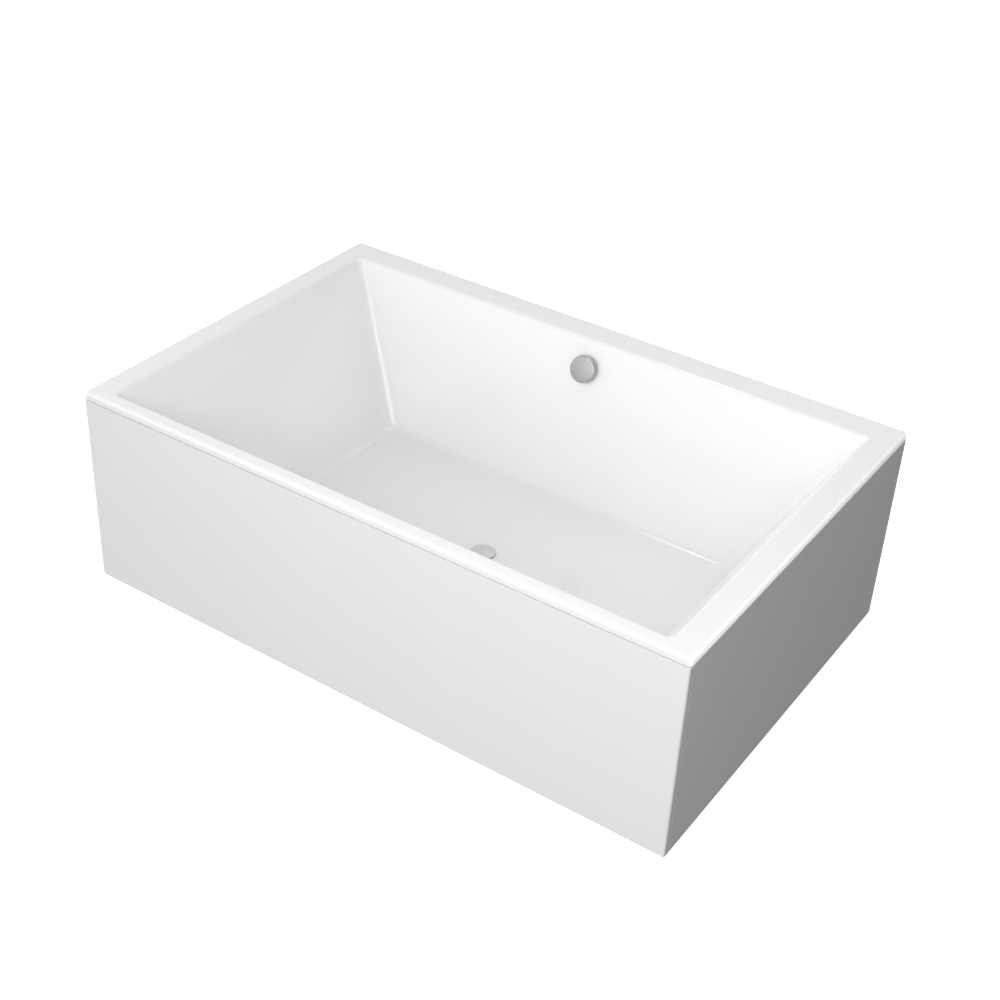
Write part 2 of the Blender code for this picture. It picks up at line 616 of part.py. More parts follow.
# ---- waste -------------------------------------------------------------------------
def waste():
    middle = (0, BASIN_MID_Y, 0)
    base = empty("waste_axis", middle)
    frame = Matrix.Translation(middle)
    chrome = (CHROME, 0.08, 1.0)
    seat, bore = WASTE_Z + GAP, 0.0195
    neck_end = 0.110
    flange = [(0.0335, seat + 0.0022), (FLANGE_RADIUS, seat + 0.0013), (FLANGE_RADIUS, seat),
              (NECK_RADIUS, seat), (NECK_RADIUS, neck_end), (bore, neck_end), (bore, 0.116),
              (BEARING_RADIUS, 0.116), (BEARING_RADIUS, 0.121), (bore, 0.121), (bore, 0.142),
              (0.0220, 0.1445)]
    ring_piece = turned("waste_flange", flange, chrome, parent=base, steps=24)
    ports(ring_piece, frame, 0.0050, 0.0120, 4, (0.112, 0.125))

    under = seat + 0.0025
    plug = [(0, under + 0.0052), (0.012, under + 0.0049), (0.024, under + 0.0039),
            (0.0305, under + 0.0027), (PLUG_RADIUS, under + 0.0014), (PLUG_RADIUS, under + 0.0004),
            (0.0315, under), (0.0150, under), (0.0150, 0.133), (SPINDLE_RADIUS, 0.133),
            (SPINDLE_RADIUS, 0.088), (0, 0.088)]
    turned("waste_plug", plug, chrome, parent=base, steps=28, closed=False)
    bead = 0.0016
    seal = [(0.0172 + bead * math.sin(a), 0.1385 + bead * math.cos(a))
            for a in [math.tau * i / 8 for i in range(8)]]
    turned("plug_seal", seal, (BLACK_RUBBER, 0.6, 0.0), parent=base, steps=16)

    gasket_top = WASTE_Z - SHELL_T - GAP
    washer = [(0.036, gasket_top), (0.036, gasket_top - 0.003), (0.0255, gasket_top - 0.003),
              (0.0255, gasket_top)]
    turned("waste_gasket", washer, (BLACK_RUBBER, 0.7, 0.0), parent=base)

    shoulder, dip_end, dip_radius = 0.062, 0.034, 0.020
    body = [(0, BODY_TOP), (0.038, BODY_TOP), (0.038, BODY_TOP - 0.004),
            (0.029, BODY_TOP - 0.004), (0.029, shoulder), (dip_radius, shoulder),
            (dip_radius, dip_end), (0, dip_end)]
    housing = turned("waste_body", body, (WHITE_PLASTIC, 0.4, 0.0), parent=base, closed=False)
    y = BASIN_MID_Y
    inlet_end = Vector((0, y + 0.058, HOSE_LEVEL))
    inlet_start = Vector((0, y, HOSE_LEVEL))
    combine(housing, cylinder_tool("inlet_outside", SPIGOT_RADIUS, inlet_start, inlet_end),
            "UNION")
    combine(housing, cylinder_tool("body_neck_bore", NECK_RADIUS + GAP, (0, y, 0.105),
                                   (0, y, BODY_TOP + 0.01)))
    combine(housing, cylinder_tool("body_chamber", 0.026, (0, y, shoulder + 0.003),
                                   (0, y, neck_end - 2 * GAP)))
    combine(housing, cylinder_tool("body_dip_bore", 0.0172, (0, y, dip_end - 0.01),
                                   (0, y, shoulder + 0.01)))
    combine(housing, cylinder_tool("inlet_bore", SPIGOT_BORE, inlet_start,
                                   inlet_end + Vector((0, 0.01, 0))))

    cup_top, neck_top, cup_floor, cup_radius = 0.050, 0.0585, 0.006, 0.036
    trap_neck = 0.0235
    cup = [(0, neck_top), (trap_neck, neck_top), (trap_neck, cup_top), (cup_radius, cup_top),
           (cup_radius, cup_floor + 0.004), (cup_radius - 0.004, cup_floor), (0, cup_floor)]
    trap = turned("trap_cup", cup, (WHITE_PLASTIC, 0.4, 0.0), parent=base, closed=False)
    spout_start, spout_end = Vector((0, y, OUTLET_LEVEL)), Vector((-0.062, y, OUTLET_LEVEL))
    combine(trap, cylinder_tool("spout_outside", 0.0185, spout_start, spout_end), "UNION")
    combine(trap, cylinder_tool("trap_neck_bore", dip_radius + 2 * GAP, (0, y, 0.040),
                                (0, y, neck_top + 0.01)))
    combine(trap, cylinder_tool("trap_chamber", cup_radius - 0.003, (0, y, cup_floor + 0.003),
                                (0, y, cup_top - 0.003)))
    combine(trap, cylinder_tool("spout_bore", 0.0158, spout_start,
                                spout_end - Vector((0.01, 0, 0))))

    nut_bore = trap_neck + 0.0008
    nut = [(0.029, 0.0613), (0.030, 0.0600), (0.030, 0.0525), (0.029, 0.0512),
           (nut_bore, 0.0512), (nut_bore, 0.0613)]
    turned("trap_nut", nut, (DARK_PLASTIC, 0.45, 0.0), parent=base, steps=18)

    pipe_length, pipe_bore = 0.155, 0.0188
    outline = [[(radius * math.cos(math.tau * i / 24), radius * math.sin(math.tau * i / 24))
                for i in range(24)] for radius in (0.0213, pipe_bore)]
    extrusion("outlet_pipe", outline, pipe_length, (WHITE_PLASTIC, 0.4, 0.0),
              (-0.042 - pipe_length / 2, y, OUTLET_LEVEL), (0, math.radians(90), 0))


clear_scene()
PARTS = collection("freestanding_bathtub")
TOOLS = collection("cutters", hidden=True)
tub_shell()
battens_and_board()
panels()
corner_angles()
panel_clips()
support_frame()
feet()
overflow_hose(*overflow())
bowden_cable()
waste()
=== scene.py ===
# %% [markdown]
# A rectangular two-person bathtub: a white acrylic shell dropped into four flat panels, on a
# steel frame with levelling feet, with a turning overflow knob that lifts the waste plug.
# The working model, with its bodies and joints, is loaded first and never moved. This file
# gives it finer surfaces where they show, and a finish for every piece.

# %% The working model
import math

import bmesh
import bpy
from mathutils import Matrix, Vector


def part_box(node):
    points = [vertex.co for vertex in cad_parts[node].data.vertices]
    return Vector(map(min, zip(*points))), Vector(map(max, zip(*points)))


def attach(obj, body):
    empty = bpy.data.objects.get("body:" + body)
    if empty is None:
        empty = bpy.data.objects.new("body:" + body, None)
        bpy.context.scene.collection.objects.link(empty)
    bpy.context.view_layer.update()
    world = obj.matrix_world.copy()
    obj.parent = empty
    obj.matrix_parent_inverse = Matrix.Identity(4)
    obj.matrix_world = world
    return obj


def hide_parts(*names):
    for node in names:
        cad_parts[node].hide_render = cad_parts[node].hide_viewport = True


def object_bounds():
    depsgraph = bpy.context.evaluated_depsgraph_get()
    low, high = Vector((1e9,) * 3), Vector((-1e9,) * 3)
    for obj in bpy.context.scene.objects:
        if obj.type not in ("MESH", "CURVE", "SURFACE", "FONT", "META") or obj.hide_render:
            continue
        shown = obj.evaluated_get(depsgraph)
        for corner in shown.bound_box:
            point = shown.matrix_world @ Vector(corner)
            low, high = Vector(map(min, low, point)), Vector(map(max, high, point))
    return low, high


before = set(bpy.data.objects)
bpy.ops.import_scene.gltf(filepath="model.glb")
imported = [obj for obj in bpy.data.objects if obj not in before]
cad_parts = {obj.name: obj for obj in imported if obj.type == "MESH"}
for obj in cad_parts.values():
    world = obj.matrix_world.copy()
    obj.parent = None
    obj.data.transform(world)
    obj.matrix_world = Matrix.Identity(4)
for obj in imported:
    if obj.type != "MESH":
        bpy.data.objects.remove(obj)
model_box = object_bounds()
low, high = model_box
print("model size in mm:", [round(1000 * (b - a)) for a, b in zip(low, high)])

# %% [markdown]
# The camera stands to the right of the tub's near side and looks down into the basin, as a
# person would who walks up to it. A lens of about 60 mm keeps the long sides nearly
# parallel. The direction is turned from three plain angles, which is easier to follow and to
# change than a target object.

# %% Camera
CAMERA_PLACE = Vector((1.8951, -2.9398, 2.6570))
HEADING = math.radians(33.65)       # turned left from looking straight along +Y
PITCH = math.radians(34.04)         # looking down from level
TILT = math.radians(2.41)           # a hand-held lean to one side

lens = bpy.data.cameras.new("tub_camera")
lens.lens = 59.8
lens.shift_x = 0.03
camera = bpy.data.objects.new("tub_camera", lens)
bpy.context.scene.collection.objects.link(camera)
aim = (Matrix.Rotation(HEADING, 4, "Z") @ Matrix.Rotation(math.radians(90) - PITCH, 4, "X")
       @ Matrix.Rotation(TILT, 4, "Z"))
camera.matrix_world = Matrix.Translation(CAMERA_PLACE) @ aim
bpy.context.scene.camera = camera
print("camera height above the rim:", round(CAMERA_PLACE.z - high.z, 2), "m")

# %% [markdown]
# Every finish below is a small tree of nodes. Colours are written as the sRGB hex values
# that a paint chart gives, and one function turns them into the linear light that the
# renderer counts in. One more function adds a node, sets it and wires it up, so each tree
# reads from top to bottom.

# %% Colour and node helpers
def linear(hex_colour):
    """An sRGB hex colour as linear RGBA."""
    parts = [int(hex_colour[i:i + 2], 16) / 255 for i in (1, 3, 5)]
    return (*[c / 12.92 if c <= 0.04045 else ((c + 0.055) / 1.055) ** 2.4 for c in parts], 1.0)


def add(tree, kind, inputs=None, **settings):
    """Adds one node. An input is a value, or the output socket to link from."""
    node = tree.nodes.new(kind)
    for name, value in settings.items():
        setattr(node, name, value)
    for socket, value in (inputs or {}).items():
        if isinstance(value, bpy.types.NodeSocket):
            tree.links.new(value, node.inputs[socket])
        else:
            node.inputs[socket].default_value = value
    return node


def finish(name, colour, roughness, metallic=0.0):
    """A new material with its shader, and the coordinates in metres that patterns use."""
    made = bpy.data.materials.new(name)
    made.use_nodes = True
    tree = made.node_tree
    shader = tree.nodes["Principled BSDF"]
    shader.inputs["Base Color"].default_value = linear(colour)
    shader.inputs["Roughness"].default_value = roughness
    shader.inputs["Metallic"].default_value = metallic
    metres = add(tree, "ShaderNodeTexCoord").outputs["Object"]
    return made, tree, shader, metres


def grain_scale(size_mm):
    """Noise scale whose features are about this many millimetres across."""
    return 1000.0 / size_mm


print("middle grey in linear light:", round(linear("#808080")[0], 3))

# %% [markdown]
# The studio floor is a white paper sweep that runs out of sight. It glows a little by itself,
# as a lit sweep does, so no hard shadow lies on it, and it throws no light on the tub.

# %% Floor
FLOOR_GLOW = 0.93
FLOOR_REACH, FLOOR_DROP = 60.0, 0.0005
scene = bpy.context.scene
scene.view_settings.view_transform = "Standard"

floor_mesh = bpy.data.meshes.new("studio_floor")
bm = bmesh.new()
bmesh.ops.create_grid(bm, x_segments=1, y_segments=1, size=FLOOR_REACH)
bm.to_mesh(floor_mesh)
bm.free()
floor = bpy.data.objects.new("studio_floor", floor_mesh)
scene.collection.objects.link(floor)
floor.location.z = -FLOOR_DROP
floor.visible_diffuse = False
floor.visible_glossy = False
paper, _, shader, _ = finish("white_sweep_paper", "#E8E8E8", 0.9)
shader.inputs["Emission Color"].default_value = (1.0, 1.0, 1.0, 1.0)
shader.inputs["Emission Strength"].default_value = FLOOR_GLOW
floor_mesh.materials.append(paper)
print("floor reaches", FLOOR_REACH, "m each way")

# %% [markdown]
# Two soft boxes light the tub. One stands in front and lights the near side and the far wall
# of the basin, and the other hangs overhead. Two small lamps draw thin bright lines in the
# rounded corners of the basin. The fillet lamp shows only in reflections, and the corner lamp
# also lights what it faces.

# %% Soft boxes
def toward(compass, above):
    """Unit vector at a compass angle from +Y towards +X, and an angle above level."""
    turn, rise = math.radians(compass), math.radians(above)
    return Vector((math.sin(turn) * math.cos(rise), math.cos(turn) * math.cos(rise),
                   math.sin(rise)))


TUB_HEART = Vector((0.0, 0.0, 0.4))
# Name, compass, degrees above level, distance and side in metres, watts.
SOFT_BOXES = (("front_box", 171, 37, 3.0, 1.5, 24.9), ("overhead_box", 90, 80, 4.0, 2.0, 21.4),
              ("corner_lamp", 132, 27, 2.5, 0.40, 2.5), ("fillet_lamp", -36, 73, 2.03, 0.42, 4.6))
for name, compass, above, distance, side, watts in SOFT_BOXES:
    box_light = bpy.data.lights.new(name, "AREA")
    box_light.shape = "SQUARE"
    box_light.size = side
    box_light.energy = watts
    hung = bpy.data.objects.new(name, box_light)
    scene.collection.objects.link(hung)
    hung.location = TUB_HEART + distance * toward(compass, above)
    hung.rotation_euler = toward(compass, above).to_track_quat("Z", "Y").to_euler()
    hung.visible_diffuse = name != "fillet_lamp"
print("soft boxes and lamps:", len(SOFT_BOXES))

# %% [markdown]
# Large pale cards stand on the left, in front and behind, and fill the basin with even light.
# The card on the right is dim, so the right side falls into shade and the corner shows. Each
# is brightest straight on and fades to its sides, and the camera sees plain white instead.

# %% Cards
CARDS = ((-90, 10, 1.83), (180, 10, 1.77), (0, 40, 1.10), (90, 10, 0.56))
ROOM_GLOW, CARD_FOCUS = 0.02, 4.0
room = bpy.data.worlds.new("studio_room")
scene.world = room
room.use_nodes = True
tree = room.node_tree
tree.nodes.clear()
direction = add(tree, "ShaderNodeTexCoord").outputs["Generated"]
glow = ROOM_GLOW
for compass, above, strength in CARDS:
    facing = add(tree, "ShaderNodeVectorMath", {0: direction, 1: toward(compass, above)},
                 operation="DOT_PRODUCT")
    front = add(tree, "ShaderNodeMath", {0: facing.outputs["Value"], 1: 0.0}, operation="MAXIMUM")
    soft = add(tree, "ShaderNodeMath", {0: front.outputs[0], 1: CARD_FOCUS}, operation="POWER")
    glow = add(tree, "ShaderNodeMath", {0: soft.outputs[0], 1: strength, 2: glow},
               operation="MULTIPLY_ADD").outputs[0]
cards = add(tree, "ShaderNodeBackground", {"Color": (1, 1, 1, 1), "Strength": glow})
sweep = add(tree, "ShaderNodeBackground", {"Color": (1, 1, 1, 1), "Strength": 1.0})
seen = add(tree, "ShaderNodeLightPath").outputs["Is Camera Ray"]
mix = add(tree, "ShaderNodeMixShader", {0: seen, 1: cards.outputs[0], 2: sweep.outputs[0]})
add(tree, "ShaderNodeOutputWorld", {"Surface": mix.outputs[0]})
print("cards:", len(CARDS))

# %% [markdown]
# Sanitary acrylic is a hard, clear-faced PMMA, white right through, polished by the mould. It
# gives a clean, deep gloss with soft reflections. Two things show that it was formed and not
# machined: the sheet lies in very long, shallow waves, a few hundredths of a millimetre over
# a hand's width, and it has a fine skin like orange peel. Cleaning leaves faint changes in
# its gloss. Its IOR is 1.49.

# %% Acrylic
WAVE_MM, PEEL_MM, WIPE_MM = 180, 4, 90
WAVE_RELIEF, PEEL_RELIEF = 0.00002, 0.0000015


def sanitary_acrylic(name, colour, dull=0.09):
    made, tree, shader, metres = finish(name, colour, dull)
    shader.inputs["IOR"].default_value = 1.49
    waves = add(tree, "ShaderNodeTexNoise",
                {"Vector": metres, "Scale": grain_scale(WAVE_MM), "Detail": 1.0})
    peel = add(tree, "ShaderNodeTexNoise",
               {"Vector": metres, "Scale": grain_scale(PEEL_MM), "Detail": 0.0})
    long_bump = add(tree, "ShaderNodeBump", {"Height": waves.outputs["Fac"],
                                             "Distance": WAVE_RELIEF})
    skin_bump = add(tree, "ShaderNodeBump", {"Height": peel.outputs["Fac"],
                                             "Distance": PEEL_RELIEF,
                                             "Normal": long_bump.outputs[0]})
    tree.links.new(skin_bump.outputs[0], shader.inputs["Normal"])
    wiped = add(tree, "ShaderNodeTexNoise",
                {"Vector": metres, "Scale": grain_scale(WIPE_MM), "Detail": 2.0})
    gloss = add(tree, "ShaderNodeMapRange", {0: wiped.outputs["Fac"], 1: 0.35, 2: 0.7,
                                             3: dull * 0.94, 4: dull * 1.08})
    tree.links.new(gloss.outputs[0], shader.inputs["Roughness"])
    shade = [c * 0.985 for c in linear(colour)[:3]] + [1.0]
    tint = add(tree, "ShaderNodeMixRGB", {0: waves.outputs["Fac"], 1: linear(colour), 2: shade})
    tree.links.new(tint.outputs[0], shader.inputs["Base Color"])
    return made


tub_acrylic = sanitary_acrylic("white_sanitary_acrylic", "#F3F3F2")
panel_acrylic = sanitary_acrylic("white_acrylic_panel_sheet", "#ECECEC", 0.11)
print("acrylic finishes:", tub_acrylic.name, "and", panel_acrylic.name)

# %% [markdown]
# Most real finishes carry one pattern that shows in three ways at once: where a surface is a
# little higher it is also a little lighter and glossier. So one function lays a pattern into
# colour, gloss and relief together, and the patterns differ from finish to finish.

# %% Laying a pattern into a finish
DULLER, GLOSSIER = 1.15, 0.9


def lay_pattern(tree, shader, pattern, colours, dull, relief_mm, span=(0.35, 0.65)):
    """Low parts of the pattern take the first colour, and high parts the second."""
    height = add(tree, "ShaderNodeMapRange", {0: pattern, 1: span[0], 2: span[1]}).outputs[0]
    tint = add(tree, "ShaderNodeMixRGB", {0: height, 1: linear(colours[0]),
                                          2: linear(colours[1])})
    gloss = add(tree, "ShaderNodeMapRange", {0: height, 3: dull * DULLER, 4: dull * GLOSSIER})
    bump = add(tree, "ShaderNodeBump", {"Height": pattern, "Distance": relief_mm / 1000})
    tree.links.new(tint.outputs[0], shader.inputs["Base Color"])
    tree.links.new(gloss.outputs[0], shader.inputs["Roughness"])
    tree.links.new(bump.outputs[0], shader.inputs["Normal"])


print("roughness over a pattern, times", GLOSSIER, "to", DULLER)

# %% [markdown]
# Behind the smooth face the shell and the panels are backed with polyester resin and chopped
# glass strands, sprayed on and rolled. The resin is a greenish grey and half matt, and the
# strands lie in it in every direction, so the back is rough where the face is smooth. Real
# strands are a tenth of a millimetre thick, too fine to show, so they are drawn 3 mm wide.
# Two noises, stretched across each other, draw them, and the higher one wins.

# %% Glass-fibre backing
STRAND_MM = 3
glass_backing, tree, shader, metres = finish("chopped_glass_resin", "#C6C7BD", 0.45)
strands = []
for stretch in ((1.0, 0.12, 1.0), (0.12, 1.0, 0.4)):
    drawn = add(tree, "ShaderNodeMapping", {"Vector": metres, "Scale": stretch})
    strands.append(add(tree, "ShaderNodeTexNoise",
                       {"Vector": drawn.outputs[0], "Scale": grain_scale(STRAND_MM)}))
upper = add(tree, "ShaderNodeMath", {0: strands[0].outputs["Fac"], 1: strands[1].outputs["Fac"]},
            operation="MAXIMUM")
lay_pattern(tree, shader, upper.outputs[0], ("#ADAEA2", "#DADAD0"), 0.45, 0.8, (0.45, 0.75))
print("strands drawn", STRAND_MM, "mm wide")

# %% [markdown]
# The shell is one sheet of cast acrylic, heated and drawn by vacuum over a mould, about 6 mm
# thick with its glass-fibre backing. Such a sheet can't have a sharp edge anywhere: it is
# rounded over the rim, into the basin, in each corner and along the floor. A box with bevels
# would give every edge the same radius. Rings laid one inside the other from the lip to the
# waste give each stretch its own, so the shell is a loft through rounded rectangles.

# %% Sizes of the shell
SHELL_T = 0.006
LIP_HEIGHT = 0.0205
RIM_ROUND = 0.009
OUTER_CORNER = 0.012
HALF_LENGTH = (high.x - low.x) / 2
HALF_WIDTH = (high.y - low.y) / 2
HEIGHT = high.z
RIM_END, RIM_NEAR, RIM_FAR = 0.065, 0.041, 0.086
BASIN_HALF_X = HALF_LENGTH - RIM_END
BASIN_LOW_Y = -HALF_WIDTH + RIM_NEAR
BASIN_HIGH_Y = HALF_WIDTH - RIM_FAR
BASIN_MID_Y = (BASIN_LOW_Y + BASIN_HIGH_Y) / 2
FLOOR_Z, WASTE_Z = 0.153, 0.143
BASIN_DEPTH = HEIGHT - FLOOR_Z
END_RUN, SIDE_RUN = 0.235, 0.159    # how far the walls lean in
END_SLOPE = math.atan(END_RUN / BASIN_DEPTH)
SIDE_SLOPE = math.atan(SIDE_RUN / BASIN_DEPTH)
RIM_INNER_ROUND, FLOOR_ROUND = 0.014, 0.032
CORNER_TOP, CORNER_BOTTOM = 0.018, 0.042
WASTE_FLAT, WASTE_HOLE = 0.048, 0.026
OVERFLOW_Z, OVERFLOW_HOLE = 0.4855, 0.0255
print("basin depth in mm:", round(1000 * BASIN_DEPTH))

# %% [markdown]
# A mould is made from sections, and so is this shell. Each section, seen from above, is a
# rectangle with rounded corners.

# %% One ring
CORNER_STEPS = 20


def ring(half_x, low_y, high_y, radius, z):
    """One closed ring: a rectangle with rounded corners at height z."""
    points = []
    corners = ((1, high_y, -1), (-1, high_y, -1), (-1, low_y, 1), (1, low_y, 1))
    for index, (side, y, inward) in enumerate(corners):
        centre = Vector((side * (half_x - radius), y + inward * radius, z))
        for step in range(CORNER_STEPS + 1):
            angle = math.radians(90) * (index + step / CORNER_STEPS)
            points.append(centre + radius * Vector((math.cos(angle), math.sin(angle), 0)))
    return points


print("points in a ring:", len(ring(HALF_LENGTH, -HALF_WIDTH, HALF_WIDTH, OUTER_CORNER, HEIGHT)))

# %% [markdown]
# The sheet bends over the rim, runs straight down the wall and bends out onto the floor. So a
# wall's inset is an arc, a straight line and an arc. The corners widen towards the floor,
# where the drawn sheet would otherwise grow thin.

# %% Rings down the walls
def wall_inset(depth, slope):
    """Distance of a sloping wall from the sharp rim edge, with both roundings."""
    turn = math.radians(90) - slope
    rim_reach = RIM_INNER_ROUND * math.tan(turn / 2)
    floor_reach = FLOOR_ROUND * math.tan(turn / 2)
    above_floor = BASIN_DEPTH - depth
    if depth < RIM_INNER_ROUND * (1 - math.cos(turn)):
        angle = math.acos(1 - depth / RIM_INNER_ROUND)
        return RIM_INNER_ROUND * math.sin(angle) - rim_reach
    if above_floor < FLOOR_ROUND * (1 - math.cos(turn)):
        angle = math.acos(1 - max(above_floor, 0) / FLOOR_ROUND)
        return BASIN_DEPTH * math.tan(slope) + floor_reach - FLOOR_ROUND * math.sin(angle)
    return depth * math.tan(slope)


def basin_ring(depth):
    end, side = wall_inset(depth, END_SLOPE), wall_inset(depth, SIDE_SLOPE)
    radius = CORNER_TOP + (CORNER_BOTTOM - CORNER_TOP) * depth / BASIN_DEPTH
    radius += max(0.0, -side)
    return ring(BASIN_HALF_X - end, BASIN_LOW_Y + side, BASIN_HIGH_Y - side, radius,
                HEIGHT - depth)


print("wall insets at the floor in mm:", [round(1000 * wall_inset(BASIN_DEPTH, slope))
                                          for slope in (END_SLOPE, SIDE_SLOPE)])

# %% [markdown]
# The floor falls to a small flat round the waste, so that the tub drains. All the rings are
# then listed in order, close together where the sheet bends and far apart where it is flat.

# %% Rings from the rim to the waste
RIM_STEPS, ROUND_STEPS, WALL_STEPS, FLOOR_STEPS = 12, 14, 8, 8


def floor_ring(part):
    """A ring between the foot of the walls, at part 0, and the flat round the waste, at 1."""
    half_x = BASIN_HALF_X - wall_inset(BASIN_DEPTH, END_SLOPE)
    half_y = (BASIN_HIGH_Y - BASIN_LOW_Y) / 2 - wall_inset(BASIN_DEPTH, SIDE_SLOPE)
    reach_x = half_x + (WASTE_FLAT - half_x) * part
    reach_y = half_y + (WASTE_FLAT - half_y) * part
    radius = CORNER_BOTTOM + (WASTE_FLAT - CORNER_BOTTOM) * part
    z = FLOOR_Z + (WASTE_Z - FLOOR_Z) * part
    return ring(reach_x, BASIN_MID_Y - reach_y, BASIN_MID_Y + reach_y, radius, z)


def shell_rings():
    rings = [ring(HALF_LENGTH, -HALF_WIDTH, HALF_WIDTH, OUTER_CORNER, HEIGHT - LIP_HEIGHT)]
    for step in range(RIM_STEPS + 1):
        angle = math.radians(90) * step / RIM_STEPS
        inset = RIM_ROUND * (1 - math.cos(angle))
        rings.append(ring(HALF_LENGTH - inset, inset - HALF_WIDTH, HALF_WIDTH - inset,
                          OUTER_CORNER - inset, HEIGHT - RIM_ROUND * (1 - math.sin(angle))))
    turn = math.radians(90) - SIDE_SLOPE
    rounding = [step / ROUND_STEPS for step in range(ROUND_STEPS + 1)]
    rings += [basin_ring(RIM_INNER_ROUND * (1 - math.cos(turn * part))) for part in rounding]
    wall_start = RIM_INNER_ROUND * (1 - math.cos(turn))
    wall_end = BASIN_DEPTH - FLOOR_ROUND * (1 - math.cos(turn))
    rings += [basin_ring(wall_start + (wall_end - wall_start) * part / WALL_STEPS)
              for part in range(1, WALL_STEPS)]
    rings += [basin_ring(BASIN_DEPTH - FLOOR_ROUND * (1 - math.cos(turn * part)))
              for part in reversed(rounding)]
    rings += [floor_ring(part / FLOOR_STEPS) for part in range(1, FLOOR_STEPS + 1)]
    rings.append(ring(WASTE_HOLE, BASIN_MID_Y - WASTE_HOLE, BASIN_MID_Y + WASTE_HOLE,
                      WASTE_HOLE, WASTE_Z))
    return rings


print("rings in the shell:", len(shell_rings()))

# %% [markdown]
# Every piece below is placed with its finishes, has its modifiers put into its mesh and is
# shaded alike. Weighted normals keep broad walls flat in the light beside their narrow
# roundings. The overflow's axis stands square to the sloping far wall.

# %% Helpers for placed pieces
SHARP_ANGLE = math.radians(40)


def place(name, mesh, *finishes):
    thing = bpy.data.objects.new(name, mesh)
    scene.collection.objects.link(thing)
    for one in finishes:
        mesh.materials.append(one)
    return thing


def bake_modifiers(thing):
    """Puts the modifiers' result into the mesh, so that later steps start from it."""
    bpy.context.view_layer.update()
    graph = bpy.context.evaluated_depsgraph_get()
    mesh = bpy.data.meshes.new_from_object(thing.evaluated_get(graph))
    thing.modifiers.clear()
    thing.data = mesh
    return thing


def even_shading(thing):
    """Smooth shading that follows the larger faces and stays sharp at real edges."""
    thing.data.shade_smooth()
    thing.data.set_sharp_from_angle(angle=SHARP_ANGLE)
    level = thing.modifiers.new("Shading", "WEIGHTED_NORMAL")
    level.keep_sharp = True


def on_overflow(reach):
    """A point on the overflow's axis, reach in front of the wall's visible face."""
    wall_y = BASIN_HIGH_Y - (HEIGHT - OVERFLOW_Z) * math.tan(SIDE_SLOPE)
    normal = Vector((0, -math.cos(SIDE_SLOPE), math.sin(SIDE_SLOPE)))
    return Vector((0, wall_y, OVERFLOW_Z)) + reach * normal


print("overflow's centre in mm:", [round(1000 * c) for c in on_overflow(0)])

# %% [markdown]
# Between the rings the skin is plain quads. Solidify gives the sheet its thickness downward
# and paints its underside with the second finish, the glass-fibre backing.

# %% Skin and sheet of the shell
bm = bmesh.new()
rows = [[bm.verts.new(point) for point in points] for points in shell_rings()]
for outer, inner in zip(rows, rows[1:]):
    for i in range(len(outer)):
        j = (i + 1) % len(outer)
        bm.faces.new((outer[i], outer[j], inner[j], inner[i]))
bmesh.ops.remove_doubles(bm, verts=bm.verts, dist=0.000001)
shell_mesh = bpy.data.meshes.new("formed_shell")
bm.to_mesh(shell_mesh)
bm.free()
shell = place("formed_shell", shell_mesh, tub_acrylic, glass_backing)
sheet = shell.modifiers.new("Sheet", "SOLIDIFY")
sheet.thickness = SHELL_T
sheet.offset = -1.0
sheet.use_even_offset = True
sheet.material_offset = 1
print("quads in the skin:", len(shell_mesh.polygons))

# %% [markdown]
# A hole saw cuts the overflow's hole square to the wall. Here a Boolean with a cylinder does.

# %% Overflow hole
DRILL_SIDES, DRILL_LENGTH = 64, 0.06
drill_mesh = bpy.data.meshes.new("overflow_drill")
bm = bmesh.new()
bmesh.ops.create_cone(bm, cap_ends=True, segments=DRILL_SIDES, radius1=OVERFLOW_HOLE,
                      radius2=OVERFLOW_HOLE, depth=DRILL_LENGTH)
bm.to_mesh(drill_mesh)
bm.free()
drill = bpy.data.objects.new("overflow_drill", drill_mesh)
scene.collection.objects.link(drill)
drill.location = on_overflow(0)
drill.rotation_euler = (math.radians(90) - SIDE_SLOPE, 0, 0)
cut = shell.modifiers.new("Overflow", "BOOLEAN")
cut.object = drill
cut.solver = "EXACT"
bake_modifiers(shell)
bpy.data.objects.remove(drill)
even_shading(shell)
print("shell faces:", len(shell.data.polygons))
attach(shell, "tub")
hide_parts("tub_shell")
print("faces of the shell's back:", sum(f.material_index == 1 for f in shell.data.polygons))

# %% [markdown]
# Four flat panels close the tub from the lip to the floor. They are 16 mm boards with an
# acrylic face. The long ones cap the short ones at the corners and have their outer upright
# edges rounded to 5 mm; every other edge is only broken by a file. A cube with two bevels
# gives both, and the faces that look into the tub take the resin finish.

# %% Panels
PANEL_ROUND, PANEL_BREAK = 0.005, 0.001
ROUND_SEGMENTS, BREAK_SEGMENTS = 12, 4


